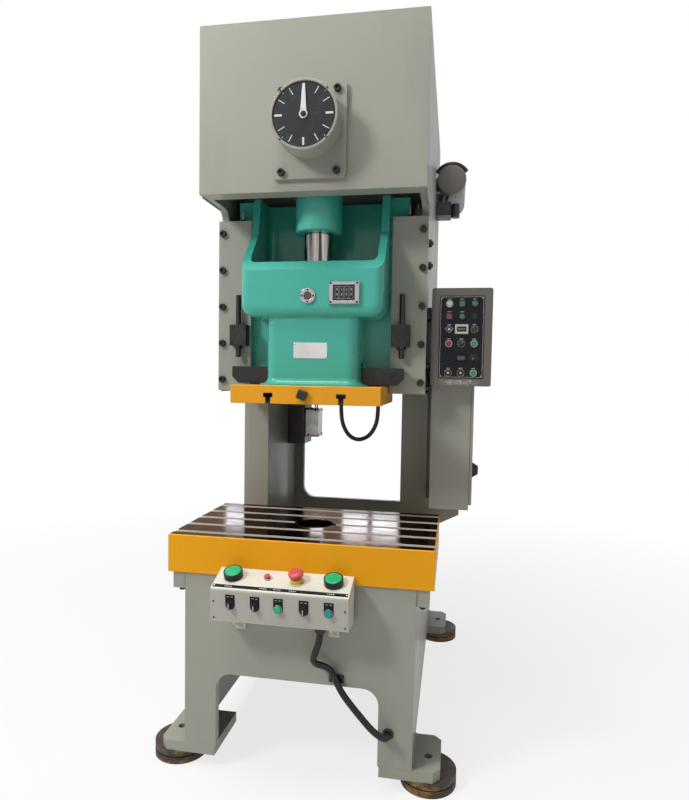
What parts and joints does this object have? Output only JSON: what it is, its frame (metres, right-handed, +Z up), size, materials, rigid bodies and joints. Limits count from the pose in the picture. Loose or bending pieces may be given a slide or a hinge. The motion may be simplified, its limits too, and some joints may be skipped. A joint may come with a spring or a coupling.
{
  "type": "mechanical stamping press",
  "caption": "Single-crank C-frame stamping press with a guided ram, slotted bolster, two-hand console, side control panel and rear flywheel drive.",
  "frame": {"origin": "on the floor, in the middle of the four anchor holes", "axes": "+X to the operator's right, +Y from front to back, +Z up"},
  "size_m": [1.08, 1.6355, 2.37],
  "materials": {
    "frame_paint": "satin light warm grey paint",
    "green_paint": "gloss turquoise green paint",
    "yellow_paint": "gloss yellow-orange paint on the sides",
    "bolster_steel": "ground steel top, yellow-orange painted sides",
    "bright_steel": "turned bright steel",
    "black_steel": "black oxide",
    "machine_steel": "machined steel, oiled",
    "cast_iron": "cast, oiled",
    "bronze": "bearing bronze",
    "pad_rubber": "black-brown rubber, worn yellow paint at the edges",
    "belt_rubber": "black rubber belt",
    "hose_rubber": "black hose",
    "dial_black": "matt black with white marks",
    "dial_white": "white paint",
    "console_paint": "light grey paint",
    "device_metal": "plated rings",
    "green_plastic": "green",
    "teal_plastic": "teal",
    "red_plastic": "red",
    "black_plastic": "black",
    "grey_paint": "mid grey paint",
    "motor_paint": "blue-grey paint"
  },
  "bodies": {
    "frame": {"side_plate_left": "frame_paint", "side_plate_right": "frame_paint", "apron_plate": "frame_paint", "rear_plate": "frame_paint", "column_channels": "frame_paint", "bed_plate": "frame_paint", "crown_front_plate": "frame_paint", "crown_cover": "frame_paint", "crank_support": "frame_paint", "foot_pads": "pad_rubber", "bolster": "bolster_steel", "guide_blocks": "cast_iron", "gib_plates": "frame_paint", "frame_bolts": "black_steel", "stopper_blocks": "black_steel", "crank_bushes": "bronze", "dial_housing": "frame_paint", "dial_face": "dial_black", "drive_motor": "motor_paint", "drive_belts": "belt_rubber", "belt_guard": "frame_paint", "console_box": "console_paint", "console_brackets": "console_paint", "console_guards": "device_metal", "panel_box": "grey_paint", "panel_face": "black_plastic", "cabinet_box": "frame_paint", "air_receiver": "grey_paint", "air_valve": "black_steel", "oil_pump": "black_steel", "conduit_fittings": "black_plastic", "console_conduit": "hose_rubber"},
    "crank": {"crankshaft": "machine_steel", "dial_pointer": "dial_white", "clutch_drum": "cast_iron"},
    "flywheel": {"flywheel": "cast_iron"},
    "motor_rotor": {"motor_pulley": "cast_iron"},
    "rod": {"connecting_rod": "green_paint"},
    "ram": {"slide_casting": "green_paint", "ram_plate": "yellow_paint", "ball_cap": "machine_steel", "shank_bolt": "black_steel", "oil_gauge": "device_metal", "height_indicator": "device_metal", "oil_hose": "hose_rubber"},
    "screw": {"adjusting_screw": "bright_steel"},
    "knockout": {"knockout_bar": "black_steel"},
    "stopper_left": {"stopper_rod_left": "black_steel"},
    "stopper_right": {"stopper_rod_right": "black_steel"},
    "door": {"cabinet_door": "frame_paint"},
    "handle": {"door_handle": "black_plastic"},
    "palm_left": {"palm_button_left": "green_plastic"},
    "palm_right": {"palm_button_right": "green_plastic"},
    "stop_button": {"emergency_stop": "red_plastic"},
    "reset": {"reset_button": "red_plastic"},
    "mode": {"mode_selector": "black_plastic"},
    "feed": {"feed_selector": "black_plastic"},
    "start": {"start_button": "green_plastic"},
    "key": {"key_selector": "device_metal"},
    "run": {"run_button": "teal_plastic"}
  },
  "joints": [
    {"name": "slide_stroke", "type": "slide", "parent": "frame", "child": "rod", "axis": [0, 0, 1], "range_m": [-0.12, 0]},
    {"name": "crank_turn", "type": "hinge", "parent": "frame", "child": "crank", "pos_m": [0, -0.4, 2.041], "axis": [0, 1, 0], "range_deg": [0, 180]},
    {"name": "shut_height", "type": "slide", "parent": "rod", "child": "ram", "axis": [0, 0, 1], "range_m": [-0.055, 0.005]},
    {"name": "screw_turn", "type": "hinge", "parent": "ram", "child": "screw", "pos_m": [0, -0.4, 1.44], "axis": [0, 0, 1], "continuous": true},
    {"name": "knockout_lift", "type": "slide", "parent": "ram", "child": "knockout", "axis": [0, 0, 1], "range_m": [0, 0.015]},
    {"name": "stopper_left_set", "type": "slide", "parent": "frame", "child": "stopper_left", "axis": [0, 0, 1], "range_m": [-0.01, 0.04]},
    {"name": "stopper_right_set", "type": "slide", "parent": "frame", "child": "stopper_right", "axis": [0, 0, 1], "range_m": [-0.01, 0.04]},
    {"name": "flywheel_spin", "type": "hinge", "parent": "frame", "child": "flywheel", "pos_m": [0, 0.74, 2.041], "axis": [0, 1, 0], "continuous": true},
    {"name": "motor_spin", "type": "hinge", "parent": "frame", "child": "motor_rotor", "pos_m": [0, 0.74, 1.48], "axis": [0, 1, 0], "continuous": true},
    {"name": "door_swing", "type": "hinge", "parent": "frame", "child": "door", "pos_m": [0.526, 0.132, 1.125], "axis": [0, 0, 1], "range_deg": [0, 110]},
    {"name": "handle_turn", "type": "hinge", "parent": "door", "child": "handle", "pos_m": [0.5305, -0.235, 0.942], "axis": [1, 0, 0], "range_deg": [0, 90]},
    {"name": "palm_left_press", "type": "slide", "parent": "frame", "child": "palm_left", "axis": [0, 0.3387, -0.9409], "range_m": [0, 0.005], "stiffness_N_per_m": 600, "springref_m": -0.004},
    {"name": "palm_right_press", "type": "slide", "parent": "frame", "child": "palm_right", "axis": [0, 0.3387, -0.9409], "range_m": [0, 0.005], "stiffness_N_per_m": 600, "springref_m": -0.004},
    {"name": "stop_press", "type": "slide", "parent": "frame", "child": "stop_button", "axis": [0, 0.3387, -0.9409], "range_m": [0, 0.004]},
    {"name": "reset_press", "type": "slide", "parent": "frame", "child": "reset", "axis": [0, 0.3387, -0.9409], "range_m": [0, 0.0025], "stiffness_N_per_m": 300, "springref_m": -0.004},
    {"name": "mode_turn", "type": "hinge", "parent": "frame", "child": "mode", "pos_m": [-0.175, -0.74421, 0.584], "axis": [0, -0.9982, -0.0593], "range_deg": [-45, 45]},
    {"name": "feed_turn", "type": "hinge", "parent": "frame", "child": "feed", "pos_m": [-0.099, -0.74421, 0.584], "axis": [0, -0.9982, -0.0593], "range_deg": [-45, 45]},
    {"name": "start_press", "type": "slide", "parent": "frame", "child": "start", "axis": [0, 0.9982, 0.0593], "range_m": [0, 0.0025], "stiffness_N_per_m": 300, "springref_m": -0.004},
    {"name": "key_turn", "type": "hinge", "parent": "frame", "child": "key", "pos_m": [0.049, -0.74421, 0.584], "axis": [0, -0.9982, -0.0593], "range_deg": [-45, 45]},
    {"name": "run_press", "type": "slide", "parent": "frame", "child": "run", "axis": [0, 0.9982, 0.0593], "range_m": [0, 0.0025], "stiffness_N_per_m": 300, "springref_m": -0.004}
  ],
  "couplings": [
    {"joint": "crank_turn", "follows": "slide_stroke", "rad_per_m": -26.18},
    {"joint": "screw_turn", "follows": "shut_height", "rad_per_m": 1047.2},
    {"joint": "motor_spin", "follows": "flywheel_spin", "ratio": 4.1092}
  ]
}
